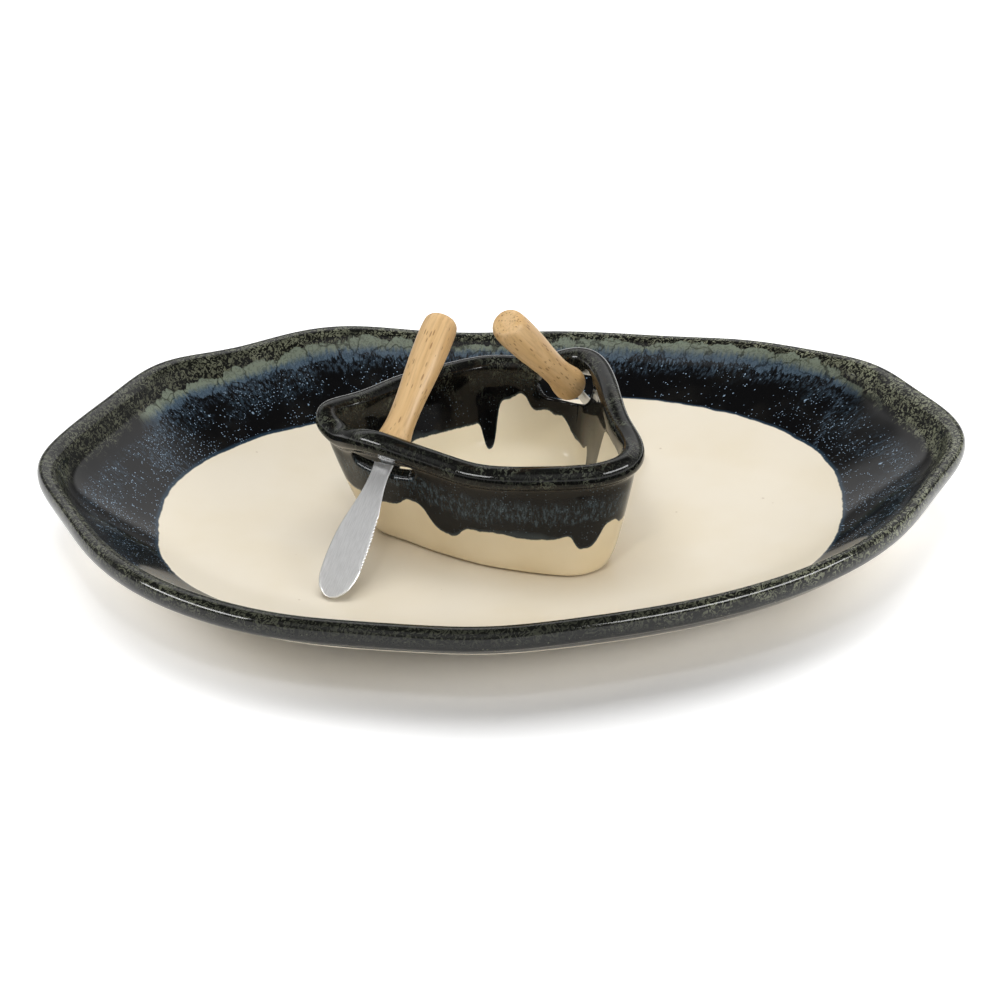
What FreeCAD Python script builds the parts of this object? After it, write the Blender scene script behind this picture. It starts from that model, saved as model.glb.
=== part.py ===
import FreeCAD, Part
import math
import os

V = FreeCAD.Vector

# ---------------------------------------------------------------- driving dimensions, millimetres
# Own frame: X along the length of the platter, +Y to the back, Z up, z = 0 on the table.

# Platter
FLOOR_Z = 9.0                 # top of the flat well
WALL_DROP = 6.8               # upright thickness of the sloping wall
FLOOR_CENTRE = (2.0, -3.0)
FLOOR_LONG = 134.0            # half length of the flat well
FLOOR_SHORT = 76.0            # half width of the flat well
FLOOR_TURN = 7.0              # turn of the well against the length, degrees
POCKET_LONG = 118.0           # recess inside the foot ring, half length
POCKET_SHORT = 62.0
POCKET_DEPTH = 1.6
PLATTER_COLUMNS = 72

# Outer edge of the rolled rim: x, y, height of the crest.  Hand pulled, so no two stretches match.
PLATTER_RIM = [
    (197.5, 22, 41), (197, 39, 41), (192.5, 54, 41), (183, 73, 41), (172.5, 96, 41), (165, 105, 41),
    (145, 117, 40.5), (116, 132, 39.5), (79, 138, 39), (49, 145, 38), (20, 147, 38), (-22, 145, 38),
    (-49, 146, 39.5), (-73, 147, 41), (-93, 144, 40.5), (-107, 139, 39), (-133, 120, 39.5),
    (-156, 109, 40), (-164, 99, 40), (-174.5, 76, 39.5), (-184.5, 51, 40), (-194.5, 25, 40), (-199.5, 4, 39.5),
    (-186.5, -34, 38.5), (-170, -70, 38.5), (-150, -98, 38), (-127.5, -118, 38), (-91, -136, 37.5),
    (-48, -144, 37.5), (-11, -147.5, 37.5), (22, -141, 37.5), (71, -125, 37.5), (122, -96, 38),
    (165, -48, 39), (183, -12, 40),
]

# Dip bowl
BOWL_BASE = 9.3               # underside of the bowl, a hair above the well
BOWL_THICK = 5.2              # body wall
BOWL_FLOOR = 15.0             # inside floor of the bowl
ROLL_WIDE = 8.6               # rolled rim, across
ROLL_HIGH = 7.4               # rolled rim, upright
BOWL_COLUMNS = 60

# Middle of the rolled rim (x, y, z), foot outline (x, y), inward dent of the wall below a strap
BOWL_STATIONS = [
    ((-76.5, 0, 60), (-55.5, -1), 0), ((-66, 14, 59.5), (-50, 10), 0), ((-46, 35.5, 58.5), (-36, 25), 0),
    ((-25, 50.5, 58), (-19, 37), 0), ((-3, 58, 58.5), (-2, 43), 0), ((14, 54.5, 59.5), (14, 43), 1),
    ((24.5, 51, 64.5), (23, 42), 3), ((33.5, 46.5, 67), (30, 38), 3), ((40, 33, 66.5), (34, 29), 2),
    ((43.3, 12, 64.5), (35, 12), 0), ((46.5, -8, 61), (37, -7), 0), ((51, -24, 59), (40, -22), 0),
    ((50.5, -38, 58.5), (40.5, -36), 0), ((42, -48, 58), (34, -44), 0), ((20, -50.5, 56.5), (20, -46), 0),
    ((-3, -47.5, 55), (-3, -39.5), 0), ((-15, -42, 54), (-13, -35), 0), ((-27, -37, 56), (-23, -29), 0),
    ((-40, -35, 60), (-33, -22), 1), ((-53, -31, 63), (-41, -15.5), 1.5), ((-62.5, -22, 60.5), (-48, -10.5), 1),
    ((-70, -8.5, 56.5), (-53, -6), 0),
]

# Slots that carry the spreaders: middle (x, y, z), plan direction outward, fall outward, length, height
FRONT_SLOT = ((-51.6, -27.2, 49.8), (-0.545, -0.838), 0.85, 31.0, 7.6)
REAR_SLOT = ((27.5, 43.9, 54.8), (0.5, 0.866), 0.70, 31.5, 15.5)

# Spreaders
BLADE_LONG = 66.2             # blade outside the handle
BLADE_WIDE = 18.0
BLADE_NECK = 9.6
BLADE_THICK = 1.2
TANG_LONG = 24.0
TANG_WIDE = 4.6
TEETH = 16
TOOTH_PITCH = 1.5
TOOTH_DEPTH = 0.45
HANDLE_LONG = 65.8
BORE_RADIUS = 2.9
BORE_LONG = 26.0
# Handle outline: distance from the neck end, radius
HANDLE_OUTLINE = [
    (0.0, 4.6), (1.0, 6.0), (2.8, 7.1), (5.2, 7.4), (8.5, 7.0), (12.8, 6.3), (18.8, 6.0), (26.8, 6.2),
    (36.8, 6.85), (46.8, 7.4), (55.8, 7.6), (61.3, 7.4), (64.4, 6.6), (65.8, 5.2),
]
# Blade tip (x, y, z) and the direction from the tip up the handle
FRONT_SPREADER = ((-72.2, -68.0, 10.8), (0.343, 0.689, 0.639))
REAR_SPREADER = ((58.3, 74.4, 11.0), (-0.448, -0.561, 0.696))


# ---------------------------------------------------------------- shared geometry
def closed_samples(points, parameters, count):
    """Even samples of the smooth closed curve through the points."""
    curve = Part.BSplineCurve()
    curve.interpolate(Points=points, PeriodicFlag=True, Parameters=parameters)
    first = parameters[0]
    span = parameters[-1] - first
    return [curve.value(first + span * k / count) for k in range(count)]


def chord_parameters(points):
    """Distance run along the closed polygon at each point, and once more at the start."""
    run = [0.0]
    for k in range(len(points)):
        step = points[(k + 1) % len(points)] - points[k]
        run.append(run[-1] + step.Length)
    return run


def outward(ring):
    """Level outward directions of a counter-clockwise or clockwise ring of points."""
    count = len(ring)
    area = sum(ring[k - 1].x * ring[k].y - ring[k].x * ring[k - 1].y for k in range(count))
    side = 1.0 if area > 0 else -1.0
    result = []
    for k in range(count):
        run = ring[(k + 1) % count] - ring[k - 1]
        length = math.hypot(run.x, run.y)
        result.append(V(side * run.y / length, -side * run.x / length, 0))
    return result


def skin(rows):
    """Smooth closed-round surface over rows of poles, each row one turn around the piece."""
    across = len(rows)
    around = len(rows[0])
    surface = Part.BSplineSurface()
    u_knots = [0] + [k + 1 for k in range(across - 4)] + [across - 3]
    u_mults = [4] + [1] * (across - 4) + [4]
    v_knots = list(range(around + 1))
    v_mults = [1] * (around + 1)
    surface.buildFromPolesMultsKnots(rows, u_mults, v_mults, u_knots, v_knots, False, True, 3, 3)
    return surface.toShape()


def closed_body(rows):
    """Skin closed by the two level faces inside its first and last row."""
    face = skin(rows)
    rings = [e for e in face.Edges if e.isClosed() and e.BoundBox.ZLength < 1e-4]
    caps = [Part.Face(Part.Wire([ring])) for ring in rings]
    shell = Part.Shell([face] + caps)
    shell.sewShape()
    solid = Part.Solid(shell)
    if solid.Volume < 0:
        solid.reverse()
    return solid


# ---------------------------------------------------------------- platter
def well_point(angle, scale):
    """Point of the turned well ellipse."""
    turn = math.radians(FLOOR_TURN)
    x = FLOOR_LONG * scale * math.cos(angle)
    y = FLOOR_SHORT * scale * math.sin(angle)
    return V(FLOOR_CENTRE[0] + x * math.cos(turn) - y * math.sin(turn),
             FLOOR_CENTRE[1] + x * math.sin(turn) + y * math.cos(turn), 0)


def wall_height(rise, crest):
    """Height of the upper side of the wall, rise 0 at the well and 1 at the edge."""
    rise = max(rise, 0.0)
    return FLOOR_Z + (crest - 2.0 - FLOOR_Z) * (0.33 * rise + 0.67 * rise * rise)


def platter():
    points = [V(*p) for p in PLATTER_RIM]
    edge = closed_samples(points, chord_parameters(points), PLATTER_COLUMNS)
    well = [well_point(math.atan2(p.y / 150.0, p.x / 200.0), 1.0) for p in edge]
    middle = V(FLOOR_CENTRE[0], FLOOR_CENTRE[1], 0)

    def row(reach, height):
        """reach 0 on the outer edge, 1 on the border of the well, more than 1 inside it."""
        ring = []
        for p, w in zip(edge, well):
            flat = V(p.x, p.y, 0)
            if reach <= 1.0:
                q = flat + (w - flat) * reach
            else:
                q = middle + (w - middle) * (2.0 - reach)
            ring.append(V(q.x, q.y, height(p.z)))
        return ring

    rows = [row(1.5, lambda c: FLOOR_Z), row(1.25, lambda c: FLOOR_Z), row(1.06, lambda c: FLOOR_Z)]
    for reach in (0.94, 0.80, 0.62, 0.44, 0.28, 0.175):
        rows.append(row(reach, lambda c, r=reach: wall_height(1.0 - r, c)))
    # rolled rim, from the groove inside it over the crest to the lip underneath
    for reach, fall in ((0.135, 2.9), (0.11, 0.4), (0.055, -0.7), (0.0, 0.2), (-0.012, 5.2), (0.02, 9.2),
                        (0.075, 10.3), (0.13, 10.0)):
        rows.append(row(reach, lambda c, f=fall: c - f))
    for reach in (0.22, 0.38, 0.56, 0.74, 0.88):
        rows.append(row(reach, lambda c, r=reach: wall_height(1.0 - r, c) - WALL_DROP))
    rows.append(row(0.97, lambda c: 1.9))
    rows.append(row(1.0, lambda c: 0.25))
    rows.append(row(1.02, lambda c: 0.0))
    rows.append(row(1.06, lambda c: 0.0))
    body = closed_body(rows)

    pocket = Part.Ellipse(V(0, 0, 0), POCKET_LONG, POCKET_SHORT).toShape()
    pocket = Part.Face(Part.Wire([pocket])).extrude(V(0, 0, POCKET_DEPTH + 5.0))
    pocket.translate(V(0, 0, -5.0))
    pocket.rotate(V(0, 0, 0), V(0, 0, 1), FLOOR_TURN)
    pocket.translate(middle)
    return body.cut(pocket)


# ---------------------------------------------------------------- dip bowl
def bowl_body():
    rims = [V(*s[0]) for s in BOWL_STATIONS]
    feet = [V(s[1][0], s[1][1], s[2]) for s in BOWL_STATIONS]
    parameters = chord_parameters(rims)
    rim = closed_samples(rims, parameters, BOWL_COLUMNS)
    foot = closed_samples(feet, parameters, BOWL_COLUMNS)
    dents = [f.z for f in foot]
    middle = V(sum(f.x for f in foot) / BOWL_COLUMNS, sum(f.y for f in foot) / BOWL_COLUMNS, 0)
    half = BOWL_THICK / 2.0

    def wall_row(rise, offset):
        """Point of the body wall, rise 0 at the base and 1 at the middle of the rolled rim."""
        spread = 1.25 * rise - 0.25 * rise * rise
        dip = math.sin(math.pi * min(rise, 1.0) ** 2.2)
        line = [V(f.x + (r.x - f.x) * spread, f.y + (r.y - f.y) * spread,
                  BOWL_BASE + (r.z - BOWL_BASE) * rise) for f, r in zip(foot, rim)]
        return [p + n * (offset - d * dip) for p, n, d in zip(line, outward(line), dents)]

    def rim_row(offset, lift):
        return [r + n * offset + V(0, 0, lift) for r, n in zip(rim, outward(rim))]

    def base_row(offset, height):
        line = [V(f.x, f.y, height) for f in foot]
        return [p + n * offset for p, n in zip(line, outward(line))]

    def inner_row(scale, height):
        return [V(middle.x + (f.x - middle.x) * scale, middle.y + (f.y - middle.y) * scale, height)
                for f in foot]

    wide = ROLL_WIDE / 2.0
    high = ROLL_HIGH / 2.0
    rows = [base_row(-4.0, BOWL_BASE), base_row(-1.5, BOWL_BASE), base_row(0.9, BOWL_BASE + 0.1),
            base_row(2.2, BOWL_BASE + 2.2)]
    for rise in (0.14, 0.28, 0.42, 0.56, 0.70, 0.80):
        rows.append(wall_row(rise, half))
    rows.append(wall_row(0.87, half - 0.2))
    rows.append(rim_row(half + 0.3, -high - 0.6))
    rows.append(rim_row(wide + 0.9, -high * 0.75))
    rows.append(rim_row(wide + 0.7, high * 0.7))
    rows.append(rim_row(wide * 0.45, high + 0.9))
    rows.append(rim_row(-wide * 0.45, high + 0.9))
    rows.append(rim_row(-wide - 0.6, high * 0.6))
    rows.append(rim_row(-wide - 0.2, -high * 0.8))
    rows.append(wall_row(0.84, -half))
    for rise in (0.72, 0.58, 0.44, 0.30):
        rows.append(wall_row(rise, -half))
    rows.append(inner_row(0.90, BOWL_FLOOR + 4.5))
    rows.append(inner_row(0.82, BOWL_FLOOR + 0.6))
    rows.append(inner_row(0.70, BOWL_FLOOR))
    rows.append(inner_row(0.50, BOWL_FLOOR))
    return closed_body(rows)


def slot_tool(slot):
    """Rounded slot pushed through the wall, falling outward."""
    centre, plan, fall, length, height = slot
    axis = V(plan[0], plan[1], -fall)
    axis.normalize()
    along = V(-plan[1], plan[0], 0)
    along.normalize()
    up = axis.cross(along) * -1.0
    if up.z < 0:
        up = up * -1.0
    tall = height * up.z
    radius = tall / 2.0
    reach = length / 2.0 - radius
    start = V(*centre) - axis * 9.0
    low_left = start - along * reach - up * radius
    low_right = start + along * reach - up * radius
    high_left = start - along * reach + up * radius
    high_right = start + along * reach + up * radius
    left = start - along * (reach + radius)
    right = start + along * (reach + radius)
    wire = Part.Wire([
        Part.makeLine(low_left, low_right),
        Part.Arc(low_right, right, high_right).toShape(),
        Part.makeLine(high_right, high_left),
        Part.Arc(high_left, left, low_left).toShape(),
    ])
    return Part.Face(wire).extrude(axis * 18.0)


def dip_bowl():
    body = bowl_body()
    for slot in (FRONT_SLOT, REAR_SLOT):
        body = body.cut(slot_tool(slot))
    return body


# ---------------------------------------------------------------- spreaders
def placed(shape, spreader):
    """Move a piece from the spreader frame (tip at 0, handle along +X, flat side up) to its place."""
    tip, direction = spreader
    along = V(*direction)
    along.normalize()
    side = V(0, 0, 1).cross(along)
    side.normalize()
    top = along.cross(side)
    matrix = FreeCAD.Matrix(along.x, side.x, top.x, tip[0],
                            along.y, side.y, top.y, tip[1],
                            along.z, side.z, top.z, tip[2],
                            0, 0, 0, 1)
    result = shape.copy()
    result.Placement = FreeCAD.Placement(matrix)
    return result


def blade():
    """Flat blade with a round tip, a fine-toothed stretch on one edge and a tang."""
    half = BLADE_WIDE / 2.0
    neck = BLADE_NECK / 2.0
    tang = TANG_WIDE / 2.0
    end = BLADE_LONG + TANG_LONG
    teeth_start = 14.0
    teeth_end = teeth_start + TEETH * TOOTH_PITCH
    edges = []
    plain = Part.BSplineCurve()
    plain.interpolate([V(0.0, 0, 0), V(2.6, 5.4, 0), V(8.0, 8.1, 0), V(20.0, half, 0), V(33.0, 8.0, 0),
                       V(45.0, 5.5, 0), V(56.0, 4.2, 0), V(BLADE_LONG - 1.0, neck, 0)])
    edges.append(plain.toShape())
    shoulder = [V(BLADE_LONG - 1.0, neck, 0), V(BLADE_LONG + 0.2, tang, 0), V(end, tang, 0),
                V(end, -tang, 0), V(BLADE_LONG + 0.2, -tang, 0), V(BLADE_LONG - 1.0, -neck, 0)]
    for a, b in zip(shoulder, shoulder[1:]):
        edges.append(Part.makeLine(a, b))
    back = Part.BSplineCurve()
    back.interpolate([V(BLADE_LONG - 1.0, -neck, 0), V(56.0, -4.2, 0), V(48.0, -5.1, 0), V(teeth_end, -7.1, 0)])
    edges.append(back.toShape())
    corner = V(teeth_end, -7.1, 0)
    for k in range(TEETH):
        x = teeth_end - (k + 1) * TOOTH_PITCH
        y = -7.1 - 1.6 * math.sin(0.5 * math.pi * (k + 1) / TEETH)
        root = V(x + TOOTH_PITCH / 2.0, y + TOOTH_DEPTH, 0)
        crest = V(x, y, 0)
        edges.append(Part.makeLine(corner, root))
        edges.append(Part.makeLine(root, crest))
        corner = crest
    nose = Part.BSplineCurve()
    nose.interpolate([corner, V(8.0, -7.9, 0), V(2.8, -5.4, 0), V(0.0, 0, 0)])
    edges.append(nose.toShape())
    face = Part.Face(Part.Wire(edges))
    face.translate(V(0, 0, -BLADE_THICK / 2.0))
    return face.extrude(V(0, 0, BLADE_THICK))


def handle():
    """Turned wooden handle with a blind bore for the tang."""
    points = [V(BLADE_LONG + x, r, 0) for x, r in HANDLE_OUTLINE]
    outline = Part.BSplineCurve()
    outline.interpolate(points)
    first = V(BLADE_LONG, 0, 0)
    last = V(BLADE_LONG + HANDLE_LONG, 0, 0)
    wire = Part.Wire([Part.makeLine(first, points[0]), outline.toShape(), Part.makeLine(points[-1], last),
                      Part.makeLine(last, first)])
    body = Part.Face(wire).revolve(V(0, 0, 0), V(1, 0, 0), 360)
    bore = Part.makeCylinder(BORE_RADIUS, BORE_LONG, V(BLADE_LONG, 0, 0), V(1, 0, 0))
    return body.cut(bore)


def tang_bedding(blade_shape):
    """Set adhesive that fills the bore around the tang."""
    plug = Part.makeCylinder(BORE_RADIUS, BORE_LONG - 0.3, V(BLADE_LONG + 0.3, 0, 0), V(1, 0, 0))
    return plug.cut(blade_shape)


# ---------------------------------------------------------------- output
def write(name, shape):
    """Save one node and say how large it is."""
    if not shape.isValid():
        print("INVALID", name)
    box = shape.BoundBox
    print(name, len(shape.Solids), "solid", round(shape.Volume), "mm3",
          [round(v, 2) for v in (box.XMin, box.XMax, box.YMin, box.YMax, box.ZMin, box.ZMax)])
    if len(shape.Solids) == 1:
        shape = shape.Solids[0]
    shape.exportStep("parts/" + name + ".step")


os.makedirs("parts", exist_ok=True)
write("platter", platter())
write("dip_bowl", dip_bowl())
flat_blade = blade()
turned_handle = handle()
bedding = tang_bedding(flat_blade)
for prefix, spreader in (("front", FRONT_SPREADER), ("rear", REAR_SPREADER)):
    write(prefix + "_spreader_blade", placed(flat_blade, spreader))
    write(prefix + "_spreader_handle", placed(turned_handle, spreader))
    write(prefix + "_spreader_tang_bedding", placed(bedding, spreader))
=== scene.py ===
"""Looks of the chip and dip server: glazed platter, dip bowl and two spreaders."""
import math

import bmesh
import bpy
import numpy as np
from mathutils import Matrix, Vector
from mathutils.bvhtree import BVHTree


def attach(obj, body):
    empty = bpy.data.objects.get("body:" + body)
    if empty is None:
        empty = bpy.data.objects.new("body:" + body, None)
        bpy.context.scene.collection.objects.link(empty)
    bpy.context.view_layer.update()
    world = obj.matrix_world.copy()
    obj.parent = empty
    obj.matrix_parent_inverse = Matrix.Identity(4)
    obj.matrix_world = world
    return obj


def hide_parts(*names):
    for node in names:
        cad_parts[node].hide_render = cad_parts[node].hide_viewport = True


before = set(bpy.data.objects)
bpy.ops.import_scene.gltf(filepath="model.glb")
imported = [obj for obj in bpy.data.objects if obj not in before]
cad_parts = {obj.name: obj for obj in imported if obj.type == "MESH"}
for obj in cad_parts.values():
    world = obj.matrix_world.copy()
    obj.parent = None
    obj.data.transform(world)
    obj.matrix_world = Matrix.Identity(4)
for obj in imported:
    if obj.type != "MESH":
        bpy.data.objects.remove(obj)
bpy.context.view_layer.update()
MM = 0.001

# ---------------------------------------------------------------- sizes, in mm
# Platter rim seen from above, counter-clockwise from the right: (x, y, crest height)
# They come from places in the photo that scratch scripts carried through the camera model.
PLATTER_RIM = [
    (197.5, 22, 41), (197, 39, 41), (192.5, 54, 41), (183, 73, 41), (172.5, 96, 41), (165, 105, 41),
    (145, 117, 40.5), (116, 132, 39.5), (79, 138, 39), (49, 145, 38), (20, 147, 38), (-22, 145, 38),
    (-49, 146, 39.5), (-73, 147, 41), (-93, 144, 40.5), (-107, 139, 39), (-133, 120, 39.5),
    (-156, 109, 40), (-164, 99, 40), (-174.5, 76, 39.5), (-184.5, 51, 40), (-194.5, 25, 40),
    (-199.5, 4, 39.5), (-186.5, -34, 38.5), (-170, -70, 38.5), (-150, -98, 38), (-127.5, -118, 38),
    (-91, -136, 37.5),
    (-48, -144, 37.5), (-11, -147.5, 37.5), (22, -141, 37.5), (71, -125, 37.5), (122, -96, 38),
    (165, -48, 39), (183, -12, 40),
]
FLOOR_Z = 9.0
WALL_DROP = 6.8
FLOOR_CENTRE = (2.0, -3.0)
FLOOR_LONG = 134.0
FLOOR_SHORT = 76.0
FLOOR_TURN = 7.0
POCKET_LONG = 118.0
POCKET_SHORT = 62.0
POCKET_DEEP = 1.6
PLATTER_COLUMNS = 72
# Pale glaze in the well seen from above: a full oval, drawn in a little towards the front right
WELL_CENTRE = (2.0, 1.0)
WELL_LONG = 150.0
WELL_SHORT = 108.0
WELL_FULLNESS = 2.35
WELL_PULL = 0.09
WELL_PULL_AT = -0.5
WELL_PULL_WIDE = 0.55
PLATTER_OUTER_BAND = 30.0
# How the glaze broke round the platter, by the share of the way round:
# (share, mm down to the pale flow, strength of the flow, of the crystals, of the olive)
PLATTER_BREAK = [
    (0.0, 15, 0.1, 0.9, 0.9), (0.05, 15, 0.15, 0.8, 1.0), (0.085, 8, 0.6, 0.55, 1.0),
    (0.12, 4.5, 1.0, 0.35, 1.0), (0.17, 4, 1.0, 0.2, 0.9), (0.22, 5, 0.9, 0.2, 0.8),
    (0.28, 6, 0.8, 0.3, 0.7), (0.33, 9, 0.9, 0.6, 0.65), (0.37, 12, 0.9, 0.9, 0.55),
    (0.41, 15, 0.5, 1.0, 0.45), (0.46, 15, 0.1, 0.9, 0.4), (0.52, 12, 0.1, 0.7, 0.45),
    (0.6, 8, 0.4, 0.5, 0.5), (0.68, 7, 0.5, 0.4, 0.12), (0.78, 7, 0.6, 0.4, 0.12),
    (0.86, 7, 0.5, 0.5, 0.7), (0.94, 9, 0.2, 0.7, 0.9),
]

BOWL_BASE = 9.3
BOWL_THICK = 5.2
BOWL_FLOOR = 15.0
ROLL_WIDE = 8.6
ROLL_HIGH = 7.4
BOWL_COLUMNS = 60
# Bowl stations from the left corner round the back: rim point (x, y, z), foot point (x, y), dent of the wall
# Rim and foot were set after places in the photo were carried through the camera model.
BOWL_STATIONS = [
    ((-76.5, 0, 60), (-55.5, -1), 0), ((-66, 14, 59.5), (-50, 10), 0), ((-46, 35.5, 58.5), (-36, 25), 0),
    ((-25, 50.5, 58), (-19, 37), 0), ((-3, 58, 58.5), (-2, 43), 0), ((14, 54.5, 59.5), (14, 43), 1),
    ((24.5, 51, 64.5), (23, 42), 3), ((33.5, 46.5, 67), (30, 38), 3), ((40, 33, 66.5), (34, 29), 2),
    ((43.3, 12, 64.5), (35, 12), 0), ((46.5, -8, 61), (37, -7), 0), ((51, -24, 59), (40, -22), 0),
    ((50.5, -38, 58.5), (40.5, -36), 0), ((42, -48, 58), (34, -44), 0),
    ((20, -50.5, 56.5), (20, -46), 0), ((-3, -47.5, 55), (-3, -39.5), 0),
    ((-15, -42, 54), (-13, -35), 0), ((-27, -37, 56), (-23, -29), 0),
    ((-40, -35, 60), (-33, -22), 1), ((-53, -31, 63), (-41, -15.5), 1.5),
    ((-62.5, -22, 60.5), (-48, -10.5), 1),
    ((-70, -8.5, 56.5), (-53, -6), 0),
]
# Slots: centre, level direction outward, fall, length, height
FRONT_SLOT = ((-51.6, -27.2, 49.8), (-0.545, -0.838), 0.85, 31.0, 7.6)
REAR_SLOT = ((27.5, 43.9, 54.8), (0.5, 0.866), 0.70, 31.5, 15.5)
FRONT_SLOT_LIP = 1.1
REAR_SLOT_LIP = 1.3
# How far the dark glaze ran down the bowl from its crest, and its drips:
# (share of the way round, mm further down, half width as a share)
OUTER_LEVEL = 35.0
OUTER_DRIPS = [
    (0.08, 5, 0.03), (0.2, 6, 0.03), (0.39, 8, 0.035), (0.52, 5, 0.03), (0.62, -3, 0.012),
    (0.65, 7, 0.017), (0.71, 2, 0.03), (0.82, 7, 0.022), (0.86, -1, 0.015), (0.91, 7, 0.035),
]
INNER_LEVEL = 31.0
INNER_DRIPS = [
    (0.05, 13, 0.05), (0.24, 12, 0.011), (0.27, -10, 0.022), (0.3, -5, 0.025), (0.385, 12, 0.035),
    (0.45, 31, 0.027), (0.525, -18, 0.05), (0.72, -4, 0.05), (0.88, -3, 0.04),
]

BLADE_LONG = 66.2
BLADE_NECK = 9.6
BLADE_THICK = 1.2
TANG_LONG = 24.0
TANG_WIDE = 4.6
TEETH = 16
TOOTH_PITCH = 1.5
TOOTH_DEPTH = 0.45
HANDLE_LONG = 65.8
BORE_RADIUS = 2.9
BORE_LONG = 26.0
HANDLE_OUTLINE = [
    (0.0, 4.6), (1.0, 6.0), (2.8, 7.1), (5.2, 7.4), (8.5, 7.0), (12.8, 6.3), (18.8, 6.0), (26.8, 6.2),
    (36.8, 6.85), (46.8, 7.4), (55.8, 7.6), (61.3, 7.4), (64.4, 6.6), (65.8, 5.2),
]
FRONT_SPREADER = ((-72.2, -68.0, 10.8), (0.343, 0.689, 0.639))
REAR_SPREADER = ((58.3, 74.4, 11.0), (-0.448, -0.561, 0.696))


# ---------------------------------------------------------------- curves and skins
def chord_parameters(points):
    """Distance run along the closed polygon at each point, and once more at the start."""
    steps = np.linalg.norm(np.roll(points, -1, axis=0) - points, axis=1)
    return np.concatenate([[0.0], np.cumsum(steps)])


def closed_samples(points, knots, count):
    """Even samples of the periodic cubic spline through the points."""
    points = np.asarray(points, float)
    n = len(points)
    h = np.diff(knots)
    ring = np.zeros((n, n))
    right = np.zeros((n, points.shape[1]))
    for k in range(n):
        before, after = h[k - 1], h[k]
        ring[k, k - 1] += before
        ring[k, k] += 2.0 * (before + after)
        ring[k, (k + 1) % n] += after
        right[k] = 6.0 * ((points[(k + 1) % n] - points[k]) / after - (points[k] - points[k - 1]) / before)
    bend = np.linalg.solve(ring, right)
    at = knots[0] + (knots[-1] - knots[0]) * np.arange(count) / count
    k = np.clip(np.searchsorted(knots, at, side="right") - 1, 0, n - 1)
    t = (at - knots[k])[:, None]
    s = h[k][:, None] - t
    w = h[k][:, None]
    p, q = points[k], points[(k + 1) % n]
    a, b = bend[k], bend[(k + 1) % n]
    return a * s ** 3 / (6 * w) + b * t ** 3 / (6 * w) + (p / w - a * w / 6) * s + (q / w - b * w / 6) * t


def outward(ring):
    """Level outward directions of a closed ring of points."""
    x, y = ring[:, 0], ring[:, 1]
    area = np.sum(np.roll(x, 1) * y - x * np.roll(y, 1))
    side = 1.0 if area > 0 else -1.0
    run = np.roll(ring, -1, axis=0) - np.roll(ring, 1, axis=0)
    length = np.hypot(run[:, 0], run[:, 1])
    return np.stack([side * run[:, 1] / length, -side * run[:, 0] / length, 0 * length], axis=1)


def open_weights(count, per_span):
    """Clamped uniform cubic spline weights, even samples by rows."""
    at = np.linspace(0, count - 3 - 1e-9, per_span * (count - 3) + 1)
    knots = np.concatenate([[0] * 3, np.arange(count - 2), [count - 3] * 3]).astype(float)
    basis = [((at >= a) & (at < b)).astype(float) for a, b in zip(knots, knots[1:])]
    for p in (1, 2, 3):
        level = []
        for i in range(len(knots) - 1 - p):
            low, high = knots[i + p] - knots[i], knots[i + p + 1] - knots[i + 1]
            value = np.zeros_like(at)
            if low > 0:
                value += (at - knots[i]) / low * basis[i]
            if high > 0:
                value += (knots[i + p + 1] - at) / high * basis[i + 1]
            level.append(value)
        basis = level
    return np.stack(basis, axis=1)


def closed_weights(count, per_span):
    """Periodic uniform cubic spline weights, even samples by rows."""
    t = np.arange(per_span) / per_span
    local = np.stack([(1 - t) ** 3, 3 * t ** 3 - 6 * t ** 2 + 4,
                      -3 * t ** 3 + 3 * t ** 2 + 3 * t + 1, t ** 3], 1) / 6
    weights = np.zeros((count * per_span, count))
    for k in range(count):
        for j in range(4):
            weights[k * per_span:(k + 1) * per_span, (k + j - 1) % count] += local[:, j]
    return weights


def skin(rows, along, around):
    """Points of the smooth skin that has these rows as its control rows."""
    rows = np.asarray(rows, float)
    return np.einsum("ui,vj,ijk->uvk", open_weights(len(rows), along),
                     closed_weights(rows.shape[1], around), rows)


# ---------------------------------------------------------------- platter shape
def well_point(angle, scale):
    turn = math.radians(FLOOR_TURN)
    x = FLOOR_LONG * scale * np.cos(angle)
    y = FLOOR_SHORT * scale * np.sin(angle)
    return np.stack([FLOOR_CENTRE[0] + x * math.cos(turn) - y * math.sin(turn),
                     FLOOR_CENTRE[1] + x * math.sin(turn) + y * math.cos(turn)], axis=1)


def wall_height(rise, crest):
    rise = max(rise, 0.0)
    return FLOOR_Z + (crest - 2.0 - FLOOR_Z) * (0.33 * rise + 0.67 * rise * rise)


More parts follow.
